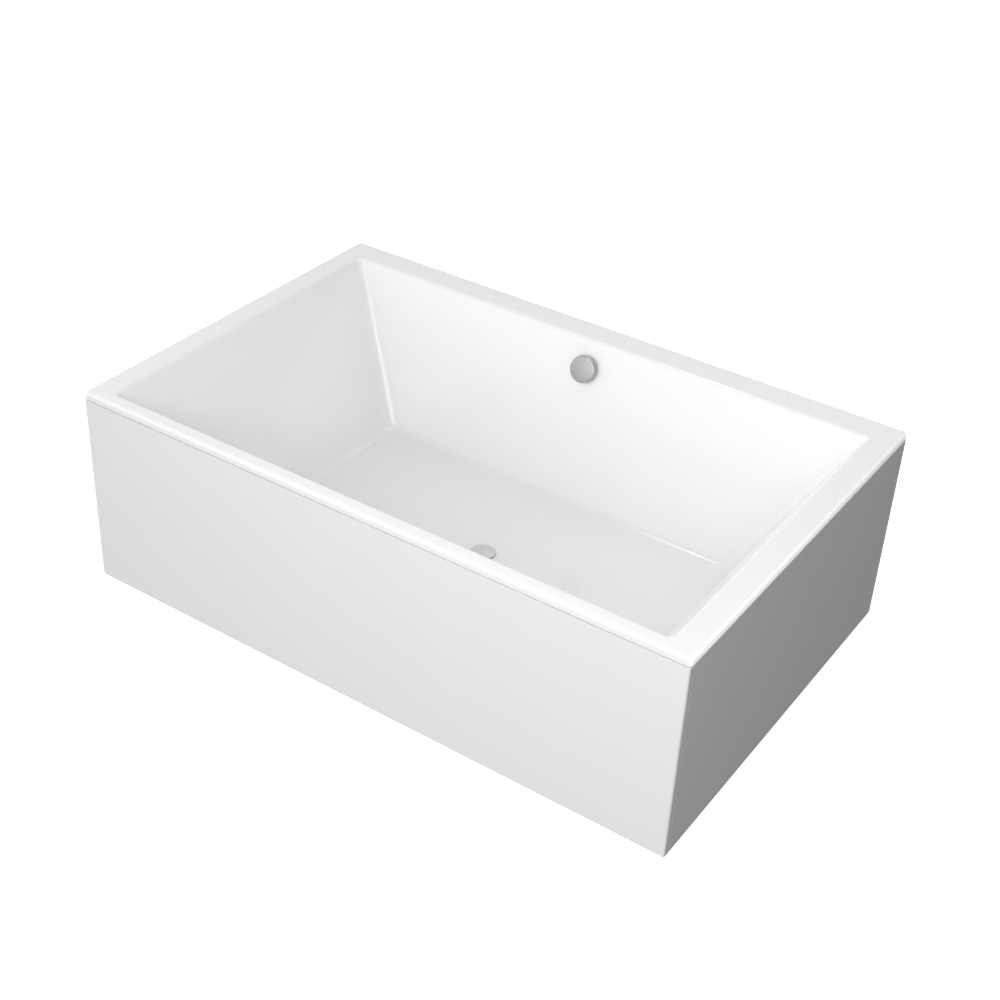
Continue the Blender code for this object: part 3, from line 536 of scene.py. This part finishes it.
def flat_panel(node, long_side):
    corner, far_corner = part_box(node)
    extent = far_corner - corner
    middle = (far_corner + corner) / 2
    bm = bmesh.new()
    bmesh.ops.create_cube(bm, size=1.0)
    bmesh.ops.scale(bm, vec=extent, verts=bm.verts)
    bmesh.ops.translate(bm, vec=middle, verts=bm.verts)
    outward = math.copysign(1.0, middle.y)
    if long_side:
        uprights = [e for e in bm.edges
                    if all(v.co.y * outward > abs(middle.y) for v in e.verts)
                    and abs(e.verts[0].co.z - e.verts[1].co.z) > extent.z / 2]
        bmesh.ops.bevel(bm, geom=uprights, offset=PANEL_ROUND, segments=ROUND_SEGMENTS,
                        profile=0.5, affect="EDGES")
    sharp = [e for e in bm.edges if e.calc_face_angle(0) > math.radians(60)]
    bmesh.ops.bevel(bm, geom=sharp, offset=PANEL_BREAK, segments=BREAK_SEGMENTS, profile=0.5,
                    affect="EDGES")
    for face in bm.faces:
        inward = face.normal.dot(Vector((middle.x, middle.y, 0)).normalized()) < -0.9
        face.material_index = 1 if inward else 0
    mesh = bpy.data.meshes.new(f"{node}_sheet")
    bm.to_mesh(mesh)
    bm.free()
    panel = place(f"{node}_sheet", mesh, panel_acrylic, glass_backing)
    even_shading(panel)
    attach(panel, "tub")
    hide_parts(node)
    return extent


for node, long_side in (("front_panel", True), ("back_panel", True),
                        ("left_panel", False), ("right_panel", False)):
    extent = flat_panel(node, long_side)
    print(node, "in mm:", [round(1000 * side) for side in extent])

# %% [markdown]
# The box on the right lights only the shell: light linking names the pieces that a lamp may
# reach. Without it the lip above the shaded panel would be as dark as the panel. It stands
# lower than the rim, so none of its light falls into the basin.

# %% Lip light
LIP_BOX_PLACE, LIP_BOX_SIDE, LIP_BOX_WATTS = (3.0, -0.3, 0.25), 0.4, 33.0
lip_light = bpy.data.lights.new("lip_box", "AREA")
lip_light.shape = "SQUARE"
lip_light.size = LIP_BOX_SIDE
lip_light.energy = LIP_BOX_WATTS
lip_lamp = bpy.data.objects.new("lip_box", lip_light)
scene.collection.objects.link(lip_lamp)
lip_lamp.location = LIP_BOX_PLACE
lip_lamp.rotation_euler = Vector((1, 0, 0)).to_track_quat("Z", "Y").to_euler()
lit_by_it = bpy.data.collections.new("lit_by_lip_box")
lit_by_it.objects.link(shell)
lip_lamp.light_linking.receiver_collection = lit_by_it

# %% [markdown]
# The overflow is closed by a round chromed knob that also turns: a quarter turn pulls a
# cable that lifts the plug. It is die-cast zinc, plated with nickel and a thin layer of
# chromium, which is a little darker than silver, and satin rather than mirror bright.

# %% Chrome
def grained(name, colours, dull, grain_mm, relief_mm, stretch=(1, 1, 1), metallic=0.0):
    """A finish with one grain, drawn out along an axis where its stretch is small."""
    made, tree, shader, metres = finish(name, colours[1], dull, metallic)
    drawn = add(tree, "ShaderNodeMapping", {"Vector": metres, "Scale": stretch})
    grain = add(tree, "ShaderNodeTexNoise", {"Vector": drawn.outputs[0], "Detail": 2.0,
                                             "Scale": grain_scale(grain_mm)})
    lay_pattern(tree, shader, grain.outputs["Fac"], colours, dull, relief_mm)
    return made


# Faint upright wipe marks, 1.5 mm wide, keep the satin knob from looking like plastic. The
# waste is polished brighter.
satin_chrome = grained("satin_chrome_plate", ("#AEAFB0", "#B2B3B4"), 0.30, 1.5, 0.0008,
                       (1, 1, 0.15), metallic=1.0)
bright_chrome = grained("polished_chrome_plate", ("#D0D1D2", "#D4D5D6"), 0.12, 1.5, 0.0005,
                        (1, 1, 0.15), metallic=1.0)
print("chrome finishes:", satin_chrome.name, "and", bright_chrome.name)

# %% [markdown]
# A turned piece needs only half of its outline, which a Screw modifier sweeps round, as a
# lathe does with a form tool.

# %% Turned pieces
TURN_STEPS = 96


def arc(centre_r, centre_z, radius, start, end, steps=6):
    """Points of a rounding in a turned outline, between two angles in degrees."""
    angles = [math.radians(start + (end - start) * step / steps) for step in range(steps + 1)]
    return [(centre_r + radius * math.cos(a), centre_z + radius * math.sin(a)) for a in angles]


def turned(name, outline, matrix, material, closed=False):
    """Sweeps an outline of (radius, height), listed down its outer side, round an axis."""
    mesh = bpy.data.meshes.new(name)
    edges = [(i, i + 1) for i in range(len(outline) - 1)]
    if closed:
        edges.append((len(outline) - 1, 0))
    mesh.from_pydata([(r, 0.0, z) for r, z in outline], edges, [])
    thing = place(name, mesh)
    sweep = thing.modifiers.new("Sweep", "SCREW")
    sweep.axis = "Z"
    sweep.steps = sweep.render_steps = TURN_STEPS
    sweep.use_merge_vertices = True
    sweep.merge_threshold = 0.00001
    bake_modifiers(thing)
    thing.data.transform(matrix)
    thing.data.materials.append(material)
    even_shading(thing)
    return thing


def stands_for(thing, body, slot, *nodes):
    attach(thing, body)
    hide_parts(*nodes)
    print(thing.name, "has", len(thing.data.polygons), "faces")


print("points in a rounding:", len(arc(0.0, 0.0, 1.0, 90, 0)), "and steps round:", TURN_STEPS)

# %% [markdown]
# The knob is a shallow dome with a rounded edge and a thin skirt. Behind its face it is
# hollow, with a hub in the middle that grips the spindle.

# %% Overflow knob
KNOB_FACE, SPINDLE_BORE = 0.0235, 0.0043
DOME_DROP, DOME_REACH = 0.0012, 0.0318
EDGE_ROUND = (0.0325, 0.0178, 0.0045)       # centre's radius and height, rounding's radius
SKIRT_ROUND = (0.0364, 0.0066, 0.0006)
SKIRT_INSIDE, SKIRT_FOOT, FACE_BACK = 0.0340, 0.0060, 0.0185
HUB_RADIUS, HUB_FOOT, HUB_TOP = 0.0085, 0.0062, 0.0170
overflow_axis = (Matrix.Translation(on_overflow(0))
                 @ Matrix.Rotation(math.radians(90) - SIDE_SLOPE, 4, "X"))
dome = [(r, KNOB_FACE - DOME_DROP * (r / DOME_REACH) ** 2)
        for r in (0.0, 0.008, 0.016, 0.024, 0.030)]
knob_outline = (dome + arc(*EDGE_ROUND, 80, 0, 12) + arc(*SKIRT_ROUND, 0, -90, 4)
                + [(SKIRT_INSIDE, SKIRT_FOOT), (SKIRT_INSIDE, FACE_BACK), (HUB_RADIUS, FACE_BACK),
                   (HUB_RADIUS, HUB_FOOT), (SPINDLE_BORE, HUB_FOOT), (SPINDLE_BORE, HUB_TOP),
                   (0.0, HUB_TOP)])
knob = turned("turning_knob", knob_outline, overflow_axis, satin_chrome)
stands_for(knob, "knob", "chrome_plate", "overflow_knob")

# %% [markdown]
# In the floor sits the waste: a polished flange, and in it the plug, a shallow chromed dome
# on a stem with a rubber ring. Both are turned. The flange's rim is rolled over so that it
# is kind to bare feet, and the cross plate under the plug has four water ports.

# %% Waste flange and plug
waste_axis = Matrix.Translation((0, BASIN_MID_Y, 0))
SEAT = WASTE_Z + 0.0003                     # a hair above the sheet
FLANGE_REACH, FLANGE_ROLL = 0.0338, 0.0012
BORE, NECK, NECK_FOOT = 0.0195, 0.0225, 0.110
CROSS_FOOT, CROSS_TOP = 0.116, 0.121
MOUTH_CENTRE, MOUTH_Z, MOUTH_ROUND = 0.0235, 0.142, 0.0030
flange_outline = (arc(FLANGE_REACH, SEAT + FLANGE_ROLL, FLANGE_ROLL, 90, -90, 8)
                  + [(NECK, SEAT), (NECK, NECK_FOOT), (BORE, NECK_FOOT), (BORE, CROSS_FOOT),
                     (SPINDLE_BORE, CROSS_FOOT), (SPINDLE_BORE, CROSS_TOP), (BORE, CROSS_TOP),
                     (BORE, MOUTH_Z)]
                  + arc(MOUTH_CENTRE, MOUTH_Z, MOUTH_ROUND, 180, 120, 6))
flange = turned("waste_rosette", flange_outline, waste_axis, bright_chrome, closed=True)
PLUG_REST, PLUG_REACH, PLUG_EDGE = 0.0025, 0.0312, 0.0013
CROWN_RISE, CROWN_DROP, CROWN_REACH = 0.0052, 0.0026, 0.031
BOSS_RADIUS, BOSS_FOOT = 0.0150, 0.133
STEM_RADIUS, STEM_FOOT = SPINDLE_BORE - 0.0003, 0.088
UNDER = SEAT + PLUG_REST
crown = [(r, UNDER + CROWN_RISE - CROWN_DROP * (r / CROWN_REACH) ** 2)
         for r in (0, 0.006, 0.012, 0.018, 0.025)]
plug_outline = (crown + arc(PLUG_REACH, UNDER + PLUG_EDGE, PLUG_EDGE, 75, -80, 10)
                + [(BOSS_RADIUS, UNDER), (BOSS_RADIUS, BOSS_FOOT), (STEM_RADIUS, BOSS_FOOT),
                   (STEM_RADIUS, STEM_FOOT), (0.0, STEM_FOOT)])
plug = turned("plug_dome", plug_outline, waste_axis, bright_chrome)
stands_for(plug, "plug", "chrome_plate", "waste_plug")

# %% [markdown]
# Water runs through rings of round ports. Each ring is drilled in one cut, and the cut edges
# are welded so that the mesh stays closed.

# %% Ports
PORT_RADIUS, PORT_SIDES, WELD = 0.0050, 32, 0.000002


def drilled(thing, matrix, radius, circle, count, reach):
    """Cuts a ring of round ports through a turned piece."""
    bm = bmesh.new()
    for index in range(count):
        angle = math.tau * index / count
        spot = matrix @ Matrix.Translation((circle * math.cos(angle), circle * math.sin(angle),
                                            (reach[0] + reach[1]) / 2))
        bmesh.ops.create_cone(bm, cap_ends=True, segments=PORT_SIDES, radius1=radius,
                              radius2=radius, depth=reach[1] - reach[0], matrix=spot)
    mesh = bpy.data.meshes.new("port_drill")
    bm.to_mesh(mesh)
    bm.free()
    tool = place("port_drill", mesh)
    ports = thing.modifiers.new("Ports", "BOOLEAN")
    ports.object = tool
    ports.solver = "EXACT"
    bake_modifiers(thing)
    bpy.data.objects.remove(tool)
    bm = bmesh.new()
    bm.from_mesh(thing.data)
    bmesh.ops.remove_doubles(bm, verts=bm.verts, dist=WELD)
    bmesh.ops.dissolve_degenerate(bm, edges=bm.edges, dist=WELD)
    bm.to_mesh(thing.data)
    bm.free()
    even_shading(thing)


drilled(flange, waste_axis, PORT_RADIUS, 0.0120, 4, (0.112, 0.125))
stands_for(flange, "tub", "chrome_plate", "waste_flange")

# %% [markdown]
# The overflow's faceplate is hidden behind the knob, and water enters through its four ports.
# It is turned like the knob and drilled like the flange.

# %% Overflow faceplate
PLATE_RADIUS, PLATE_SEAT, PLATE_FACE, PLATE_BACK = 0.0320, 0.0003, 0.0033, -0.004
PLATE_NECK, PLATE_BORE, PLATE_TAIL = 0.0235, 0.0205, -0.030
PLATE_ROUND = (0.0305, 0.0018, 0.0015)      # centre's radius and height, rounding's radius
plate_outline = (arc(*PLATE_ROUND, 90, 0, 6)
                 + [(PLATE_RADIUS, PLATE_SEAT), (PLATE_NECK, PLATE_SEAT), (PLATE_NECK, PLATE_TAIL),
                    (PLATE_BORE, PLATE_TAIL), (PLATE_BORE, PLATE_BACK),
                    (SPINDLE_BORE, PLATE_BACK), (SPINDLE_BORE, PLATE_FACE)])
faceplate = turned("port_plate", plate_outline, overflow_axis, bright_chrome, closed=True)
drilled(faceplate, overflow_axis, PORT_RADIUS, 0.0135, 4, (-0.010, 0.010))
stands_for(faceplate, "tub", "chrome_plate", "overflow_faceplate")

# %% [markdown]
# Behind the wall a ribbed hose leads the overflow's water down and across to the waste. It is
# blown polypropylene: the ribs let it bend without folding, and smooth cuffs at both ends
# grip the spigots. Its middle line drops behind the wall, turns a quarter and runs level.

# %% Path of the hose
HOSE_BORE, HOSE_SKIN, HOSE_LEVEL, HOSE_BEND = 0.0168, 0.0025, 0.078, 0.055
RIB_PITCH, RIB_DEPTH, CUFF = 0.0065, 0.0011, 0.022
HOUSING_BACK, SPIGOT_END, GRIP, WASTE_SPIGOT = -0.026, 0.056, 0.015, 0.035
BEND_STEPS, STEPS_PER_RIB = 24, 5


def hose_path():
    heart = on_overflow(HOUSING_BACK)
    top = Vector((0, heart.y, heart.z - SPIGOT_END + GRIP))
    centre = Vector((0, heart.y - HOSE_BEND, HOSE_LEVEL + HOSE_BEND))
    corners = [top, centre + Vector((0, HOSE_BEND, 0))]
    corners += [centre + HOSE_BEND * Vector((0, math.cos(a), -math.sin(a)))
                for a in [math.radians(90) * step / BEND_STEPS
                          for step in range(1, BEND_STEPS + 1)]]
    corners.append(Vector((0, BASIN_MID_Y + WASTE_SPIGOT, HOSE_LEVEL)))
    points = [corners[0]]
    for start, end in zip(corners, corners[1:]):
        count = max(1, round((end - start).length / (RIB_PITCH / STEPS_PER_RIB)))
        points += [start.lerp(end, step / count) for step in range(1, count + 1)]
    return points


path = hose_path()
hose_length = sum((b - a).length for a, b in zip(path, path[1:]))
print("hose length in mm:", round(1000 * hose_length))

# %% [markdown]
# A circle is carried along the path, and its radius follows the ribs between the cuffs.

# %% Ribbed hose
HOSE_AROUND = 32


def swept_tube(name, path, radius_at, around, material):
    """A tube along a path that lies in a plane of constant X; radius_at takes the distance."""
    bm = bmesh.new()
    travelled, rings = 0.0, []
    for index, point in enumerate(path):
        ahead = path[min(index + 1, len(path) - 1)] - path[max(index - 1, 0)]
        travelled += (point - path[index - 1]).length if index else 0.0
        side = Vector((1, 0, 0))
        over = ahead.normalized().cross(side)
        rings.append([bm.verts.new(point + radius_at(travelled)
                                   * (math.cos(math.tau * i / around) * side
                                      + math.sin(math.tau * i / around) * over))
                      for i in range(around)])
    for first, second in zip(rings, rings[1:]):
        for i in range(around):
            j = (i + 1) % around
            bm.faces.new((first[i], first[j], second[j], second[i]))
    bmesh.ops.recalc_face_normals(bm, faces=bm.faces)
    mesh = bpy.data.meshes.new(name)
    bm.to_mesh(mesh)
    bm.free()
    return place(name, mesh, material)


def hose_radius(distance):
    outer = HOSE_BORE + HOSE_SKIN
    if distance < CUFF or distance > hose_length - 2 * CUFF:
        return outer
    return outer - RIB_DEPTH * (0.5 - 0.5 * math.cos(math.tau * distance / RIB_PITCH))


polypropylene = grained("white_moulded_polypropylene", ("#E3E3DD", "#ECECE7"), 0.38, 1.2, 0.01)
hose = swept_tube("ribbed_hose", path, hose_radius, HOSE_AROUND, polypropylene)
hose_wall = hose.modifiers.new("Wall", "SOLIDIFY")
hose_wall.thickness = HOSE_SKIN - RIB_DEPTH
hose_wall.offset = -1.0
bake_modifiers(hose)
even_shading(hose)
stands_for(hose, "tub", "waste_plastic", "overflow_pipe")

# %% [markdown]
# Zinc plate has a soft bluish bloom in patches. Rolled spring steel is oiled and dark, with
# fine lines along the strip, and extruded aluminium has lines from its die along its length.

# %% Plated and bare metals
zinc_plate = grained("blue_passivated_zinc_plate", ("#AEB3BA", "#C3C8CE"), 0.30, 5, 0.004,
                     metallic=1.0)
spring_steel = grained("oiled_rolled_spring_steel", ("#77797D", "#8D8F92"), 0.34, 0.8, 0.002,
                       (1, 1, 0.05), metallic=1.0)
drawn_aluminium = grained("mill_finish_extruded_aluminium", ("#BCBFC2", "#CFD1D3"), 0.36, 0.6,
                          0.003, (1, 1, 0.01), metallic=1.0)
print("metal finishes:", zinc_plate.name, spring_steel.name, drawn_aluminium.name)

# %% [markdown]
# Six feet level the tub. Each is a pad with a ball seat on an M10 threaded rod, locked by a
# nut under the rail. A thread is a cylinder whose surface rises and falls once per turn and
# moves up one pitch in that turn, so the radius is a function of height and angle, and the
# crest stays at 5 mm. The rod is steel, zinc plated and blue passivated.

# %% Threaded rods
FEET = range(1, 7)
ROWS_PER_TURN, ROD_CHAMFER = 6, 0.001
THREAD_PITCH, THREAD_DEPTH, AROUND = 0.0015, 0.00075, 24
ROD_FOOT, ROD_TOP, ROD_RADIUS = 0.0065, 0.1085, 0.005


def threaded_rod(node, body):
    low_corner, high_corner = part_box(node)
    axis = Vector(((low_corner.x + high_corner.x) / 2, (low_corner.y + high_corner.y) / 2, 0))
    rows = round((ROD_TOP - ROD_FOOT) / (THREAD_PITCH / ROWS_PER_TURN))
    bm = bmesh.new()
    rings = []
    for row in range(rows + 1):
        z = ROD_FOOT + (ROD_TOP - ROD_FOOT) * row / rows
        chamfer = max(0.0, z - (ROD_TOP - ROD_CHAMFER))
        rings.append([])
        for i in range(AROUND):
            turn = z / THREAD_PITCH - i / AROUND
            rise = abs(2 * (turn - math.floor(turn)) - 1)
            radius = min(ROD_RADIUS - THREAD_DEPTH * rise, ROD_RADIUS - chamfer)
            angle = math.tau * i / AROUND
            rings[-1].append(bm.verts.new(axis + Vector((radius * math.cos(angle),
                                                         radius * math.sin(angle), z))))
    for first, second in zip(rings, rings[1:]):
        for i in range(AROUND):
            j = (i + 1) % AROUND
            bm.faces.new((first[i], first[j], second[j], second[i]))
    bm.faces.new(rings[-1])
    bm.faces.new(reversed(rings[0]))
    mesh = bpy.data.meshes.new(f"{node}_thread")
    bm.to_mesh(mesh)
    bm.free()
    rod = place(f"{node}_thread", mesh, zinc_plate)
    rod.data.shade_smooth()
    rod.data.set_sharp_from_angle(angle=math.radians(50))
    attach(rod, body)
    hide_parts(node)


for number in FEET:
    threaded_rod(f"foot_rod_{number}", f"foot_{number}")
print("threaded rods:", len(FEET))

# %% [markdown]
# The battens under the rim are sawn spruce, with dark and light year rings drawn out along the
# board. Chipboard, glued under the floor, is pressed from flakes of wood about 5 mm across:
# each cell of its pattern is one flake and has its own shade.

# %% Wood
RING_MM, RINGS_PER_PATCH = 60, 22


def sawn_softwood(name, stretch):
    """Spruce: dark and light year rings drawn out along the board."""
    made, tree, shader, metres = finish(name, "#CDAE7F", 0.75)
    drawn = add(tree, "ShaderNodeMapping", {"Vector": metres, "Scale": stretch})
    drift = add(tree, "ShaderNodeTexNoise", {"Vector": drawn.outputs[0], "Detail": 2.0,
                                             "Scale": grain_scale(RING_MM)})
    many = add(tree, "ShaderNodeMath", {0: drift.outputs["Fac"], 1: RINGS_PER_PATCH},
               operation="MULTIPLY")
    rings = add(tree, "ShaderNodeMath", {0: many.outputs[0], 1: 1.0}, operation="PINGPONG")
    lay_pattern(tree, shader, rings.outputs[0], ("#B58D58", "#D8BC8E"), 0.75, 0.15, (0.1, 0.9))
    return made


spruce_along_x = sawn_softwood("sawn_spruce_along_x", (0.06, 1.0, 1.0))
spruce_along_y = sawn_softwood("sawn_spruce_along_y", (1.0, 0.06, 1.0))

CHIP_MM = 5
chipboard, tree, shader, metres = finish("sanded_chipboard", "#B08D5E", 0.8)
chips = add(tree, "ShaderNodeTexVoronoi", {"Vector": metres, "Scale": grain_scale(CHIP_MM)})
flake = add(tree, "ShaderNodeSeparateColor", {"Color": chips.outputs["Color"]})
lay_pattern(tree, shader, flake.outputs[0], ("#8A6840", "#C9A873"), 0.8, 0.08, (0.0, 1.0))

print("wood finishes:", spruce_along_x.name, spruce_along_y.name, chipboard.name)

# %% [markdown]
# Powder coat flows into a soft orange peel. Moulded plastics copy a sparked mould, nylon more
# coarsely for its glass filling. Rubber is matt, and the sponge seal shows its open cells.

# %% Paint, plastic and rubber
powder_coat = grained("graphite_polyester_powder_coat", ("#2B2D30", "#313337"), 0.42, 0.9, 0.02)
black_polypropylene = grained("black_moulded_polypropylene", ("#1D1E20", "#232427"), 0.45, 0.4,
                              0.01)
foot_nylon = grained("black_glass_filled_nylon", ("#19191B", "#222225"), 0.52, 0.7, 0.02)
nitrile = grained("black_moulded_nitrile_rubber", ("#141415", "#1C1C1D"), 0.78, 0.6, 0.03)
grey_epdm = grained("grey_epdm_sponge_seal", ("#6D6F71", "#797B7D"), 0.82, 0.5, 0.06)
cable_vinyl = grained("black_extruded_vinyl_sheath", ("#17181A", "#1D1E20"), 0.40, 0.8, 0.006)

print("moulded finishes:", black_polypropylene.name, foot_nylon.name)
print("rubber and vinyl finishes:", nitrile.name, grey_epdm.name, cable_vinyl.name)

# %% [markdown]
# Real stock has no perfect edge. So each working piece that is left is copied, welded, has its
# flat faces joined and its edges broken by a fraction of a millimetre, and is shaded evenly.

# %% Softened copies
BEND_ANGLE, BREAK_SIDES = math.radians(50), 2


def softened(node, body, material, edge_mm):
    """A cleaner copy of a working piece, with broken edges and even shading."""
    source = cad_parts[node]
    mesh = bpy.data.meshes.new(f"{node}_stock")
    bm = bmesh.new()
    bm.from_mesh(source.data)
    bmesh.ops.remove_doubles(bm, verts=bm.verts, dist=WELD)
    bmesh.ops.dissolve_limit(bm, angle_limit=math.radians(1), verts=bm.verts, edges=bm.edges)
    for face in bm.faces:
        face.material_index = 0
    bm.to_mesh(mesh)
    bm.free()
    thing = place(f"{node}_stock", mesh)
    mesh.materials.append(material)
    if edge_mm:
        soften = thing.modifiers.new("Edges", "BEVEL")
        soften.width = edge_mm / 1000
        soften.segments = BREAK_SIDES
        soften.limit_method = "ANGLE"
        soften.angle_limit = BEND_ANGLE
        soften.use_clamp_overlap = True
        bake_modifiers(thing)
    even_shading(thing)
    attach(thing, body)
    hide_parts(node)


print("edges broken in", BREAK_SIDES, "steps")

# %% [markdown]
# One table says which stock each piece is cut from and how far its edges are broken, in
# millimetres. The white waste parts, the cable and the plug's seal keep their edges.

# %% Stock pieces
STOCK = (
    ("batten_wood", spruce_along_x, 1.0, ("rim_batten_front", "rim_batten_back")),
    ("batten_wood", spruce_along_y, 1.0, ("rim_batten_left", "rim_batten_right")),
    ("chipboard", chipboard, 0.6, ("base_board",)),
    ("seal_rubber", grey_epdm, 1.2, tuple(f"panel_seal_{side}" for side in
                                          ("front", "back", "left", "right"))),
    ("angle_aluminium", drawn_aluminium, 0.3,
     tuple(f"corner_angle_{corner}" for corner in ("front_left", "front_right", "back_left",
                                                   "back_right"))),
    ("spring_steel", spring_steel, 0.2, tuple(f"panel_clip_{side}" for side in
                                              ("front", "back", "left", "right"))),
    ("frame_paint", powder_coat, 0.8, ("frame_rail_front", "frame_rail_back",
                                       "frame_cross_left", "frame_cross_right")),
    ("zinc_steel", zinc_plate, 0.5, tuple(f"lock_nut_{number}" for number in FEET)),
    ("waste_plastic", polypropylene, 0.0, ("overflow_body", "waste_body", "trap_cup",
                                           "outlet_pipe")),
    ("nut_plastic", black_polypropylene, 0.4, ("trap_nut",)),
    ("gasket_rubber", nitrile, 0.3, ("overflow_gasket", "waste_gasket")),
    ("cable_sheath", cable_vinyl, 0.0, ("bowden_cable",)),
)
for slot, material, edge_mm, nodes in STOCK:
    for node in nodes:
        softened(node, "tub", material, edge_mm)
softened("knob_spindle", "knob", zinc_plate, 0.3)
softened("plug_seal", "plug", nitrile, 0.0)
for number in FEET:
    softened(f"foot_pad_{number}", f"foot_{number}", foot_nylon, 0.4)
print("stock pieces:", sum(len(nodes) for *_, nodes in STOCK) + 2 + len(FEET))
